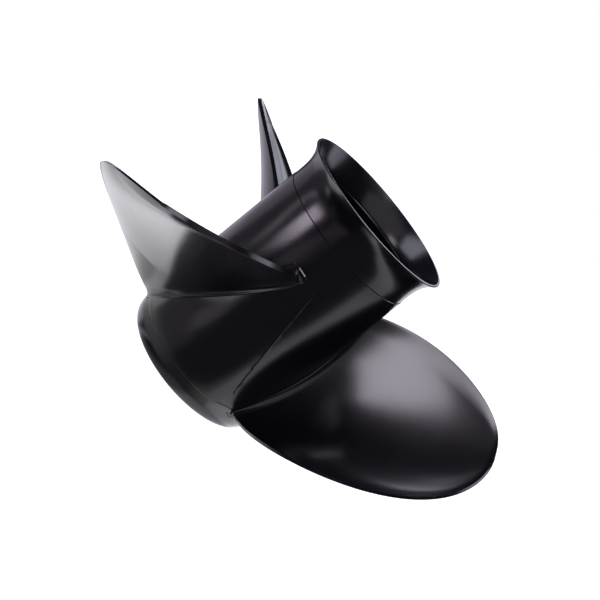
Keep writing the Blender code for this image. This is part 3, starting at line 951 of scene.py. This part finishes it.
CARD_SOFTNESS = 0.12
SOFTEST_EDGE = 8 * MM
CARD_THICKNESS = 0.01 * MM
for layer, (name, low, high, height, glow, slant) in enumerate(CARDS):
    soft = min(CARD_SOFTNESS * min(high[0] - low[0], high[1] - low[1]), SOFTEST_EDGE)
    tint = BRIGHT_TINT if glow > 1 else DARK_TINT
    only_in_reflections(make_sheet(name, low, high, height + CARD_THICKNESS * layer, BLACK_CARD,
                                   tint, glow, slant, soft))
print("cards:", len(CARDS))

# %% [markdown]
# ### Shade round the foot
# The collar mirrors the floor close to the rim. There the light falls off evenly from the left
# to the front, which straight cards would break into steps. So one flat ring is spun round the
# foot, and a colour ramp sets its glow from its place along X.

# %% Shade round the foot
FOOT_RING = ((0.0500, 0.0), (0.0535, 1.0), (0.0700, 1.0), (0.0780, 0.0))
FOOT_RING_SPAN = (math.radians(184), math.radians(312))
FOOT_SHADE = ((0.0, 1.2), (0.1, 0.8), (0.42, 0.4), (0.6, 0.15), (0.8, 0.15), (1.0, 1.1))
FOOT_SHADE_REACH = (-0.066, 0.042)
FOOT_RING_HEIGHT = 0.9 * MM
FOOT_RING_STEPS = 40


def make_foot_ring():
    """Flat ring in front of the rim, whose glow follows its place along X."""
    bm = bmesh.new()
    start, end = FOOT_RING_SPAN
    cover = bm.verts.layers.float.new("cover")
    points = []
    for radius, share in FOOT_RING:
        points.append(bm.verts.new((*polar(radius, start), FOOT_RING_HEIGHT)))
        points[-1][cover] = share
    edges = [bm.edges.new(pair) for pair in zip(points, points[1:])]
    bmesh.ops.spin(bm, geom=points + edges, axis=(0, 0, 1), cent=(0, 0, 0), angle=end - start,
                   steps=FOOT_RING_STEPS)
    ring = to_object("shade_round_the_foot", bm)
    material, tree, shader = new_material("shade_round_the_foot")
    fade_out(tree, shader)
    place = add_node(tree, "ShaderNodeTexCoord").outputs["Object"]
    axes = add_node(tree, "ShaderNodeSeparateXYZ", links={"Vector": place})
    reach = {"From Min": FOOT_SHADE_REACH[0], "From Max": FOOT_SHADE_REACH[1]}
    share = add_node(tree, "ShaderNodeMapRange", reach, {"Value": axes.outputs["X"]})
    ramp = add_node(tree, "ShaderNodeValToRGB", links={"Fac": share.outputs["Result"]})
    stops = ramp.color_ramp.elements
    while len(stops) < len(FOOT_SHADE):
        stops.new(0.5)
    for stop, (where, glow) in zip(stops, FOOT_SHADE):
        stop.position = where
        stop.color = (glow, glow, glow, 1.0)
    tree.links.new(ramp.outputs["Color"], shader.inputs["Emission Color"])
    shader.inputs["Emission Strength"].default_value = 1.0
    shader.inputs["Base Color"].default_value = linear(BLACK_CARD)
    ring.data.materials.append(material)
    return only_in_reflections(ring)


print("foot ring:", len(make_foot_ring().data.polygons), "faces")

# %% [markdown]
# ## Softboxes
# Eight softboxes, strips and lit backdrops give the patches of light on the enamel. Point lamps
# would show as dots in gloss. Each is a rectangle whose brightness is given for its face, since
# a mirrored softbox looks as bright as its face, however large it is.

# %% Softboxes
def add_softbox(name, place, aim, size, radiance, colour, turn=0.0):
    """Rectangular light with a given brightness of its face; turn is its roll in degrees.
    Blender spreads a light's energy over 4 times the area of a rectangle's face."""
    data = bpy.data.lights.new(name, "AREA")
    data.shape = "RECTANGLE"
    data.size, data.size_y = size
    data.energy = radiance * 4 * size[0] * size[1]
    data.color = linear(colour)[:3]
    light = bpy.data.objects.new(name, data)
    bpy.context.scene.collection.objects.link(light)
    light.location = place
    facing = (Vector(aim) - Vector(place)).to_track_quat("-Z", "Y").to_matrix()
    light.rotation_euler = (facing @ Matrix.Rotation(math.radians(turn), 3, "Z")).to_euler()
    light.visible_camera = False
    return light


VIOLET_WHITE, PINK_WHITE, COOL_WHITE, BLUE_WHITE = "#f7f1ff", "#faecff", "#ebeeff", "#ebedff"
MIDDLE = (0, 0, 0.1)
add_softbox("softbox_above", (0.115, -0.114, 0.69), (0.115, -0.114, 0.0), (0.32, 0.26), 6.8,
            VIOLET_WHITE, turn=46)
add_softbox("softbox_on_the_left", (-0.75, -0.24, 0.67), MIDDLE, (0.50, 0.38), 2.8, BLUE_WHITE)
add_softbox("strip_low_on_the_left", (-0.33, -0.34, 0.02), (0, 0, 0.09), (0.16, 0.13), 8.5, PINK_WHITE)
add_softbox("strip_high_on_the_left", (-0.58, -0.69, 0.38), MIDDLE, (0.26, 0.32), 3.0, PINK_WHITE)
add_softbox("backdrop_glow", (0.1, 0.9, 0.92), (0.1, 0, 0.92), (0.8, 0.7), 3.2, COOL_WHITE)
add_softbox("backdrop_low", (-0.035, 0.9, 0.355), (-0.035, 0, 0.355), (0.62, 0.12), 1.4, COOL_WHITE,
            turn=-54)
add_softbox("fill_on_the_right", (0.67, 0.56, 0.58), MIDDLE, (0.42, 0.46), 1.5, COOL_WHITE)
add_softbox("softbox_over_the_camera", (0.0, -0.75, 0.60), MIDDLE, (1.2, 0.7), 0.5, VIOLET_WHITE)

# %% [markdown]
# ## The room
# Seen directly the background is white, as the lit sheet behind the real propeller is. What the
# enamel mirrors beyond the cards is a nearly dark room. One world does both, by asking whether a
# ray comes straight from the camera. The Standard view keeps white at white.

# %% Dark studio with a white view
def make_world():
    world = bpy.data.worlds.new("studio")
    world.use_nodes = True
    tree = world.node_tree
    seen = add_node(tree, "ShaderNodeLightPath").outputs["Is Camera Ray"]
    white = add_node(tree, "ShaderNodeBackground", {"Color": (1, 1, 1, 1), "Strength": 1.0})
    dark = tree.nodes["Background"]
    dark.inputs["Color"].default_value = linear("#efe4ff")
    dark.inputs["Strength"].default_value = 0.06
    mix = add_node(tree, "ShaderNodeMixShader", links={0: seen, 1: dark.outputs[0], 2: white.outputs[0]})
    tree.links.new(mix.outputs[0], tree.nodes["World Output"].inputs["Surface"])
    bpy.context.scene.world = world


make_world()
bpy.context.scene.view_settings.view_transform = "Standard"
print("world:", bpy.context.scene.world.name)
